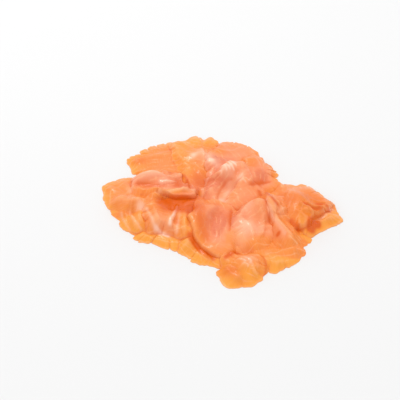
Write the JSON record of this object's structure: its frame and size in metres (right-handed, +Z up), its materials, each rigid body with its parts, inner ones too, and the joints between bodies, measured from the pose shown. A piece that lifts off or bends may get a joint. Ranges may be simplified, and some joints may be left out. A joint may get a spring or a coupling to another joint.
{
  "type": "smoked salmon",
  "caption": "Loose heap of thin, moist, overlapping slices of smoked salmon, softly folded and ruffled, with torn golden rims and a rolled fold.",
  "frame": {"origin": "centre of the heap's footprint, on the surface that it lies on", "axes": "+X along the heap's longer side, +Y across it towards the back right, +Z up"},
  "size_m": [0.1994, 0.1597, 0.0238],
  "materials": {
    "salmon": "moist, glossy and slightly translucent"
  },
  "bodies": {
    "root": {"slice_left_base": "salmon", "slice_front_skirt": "salmon", "slice_front_right": "salmon", "slice_right_lower": "salmon", "slice_back_left": "salmon", "slice_left_ruffle": "salmon", "slice_left_front": "salmon", "slice_left": "salmon", "slice_back": "salmon", "slice_back_right": "salmon", "slice_far_right": "salmon", "slice_back_lobe": "salmon", "slice_left_fold": "salmon", "slice_right_upper": "salmon", "slice_ribbon": "salmon", "slice_ridge": "salmon", "slice_round": "salmon", "slice_centre": "salmon", "slice_front_tip": "salmon"}
  },
  "joints": []
}
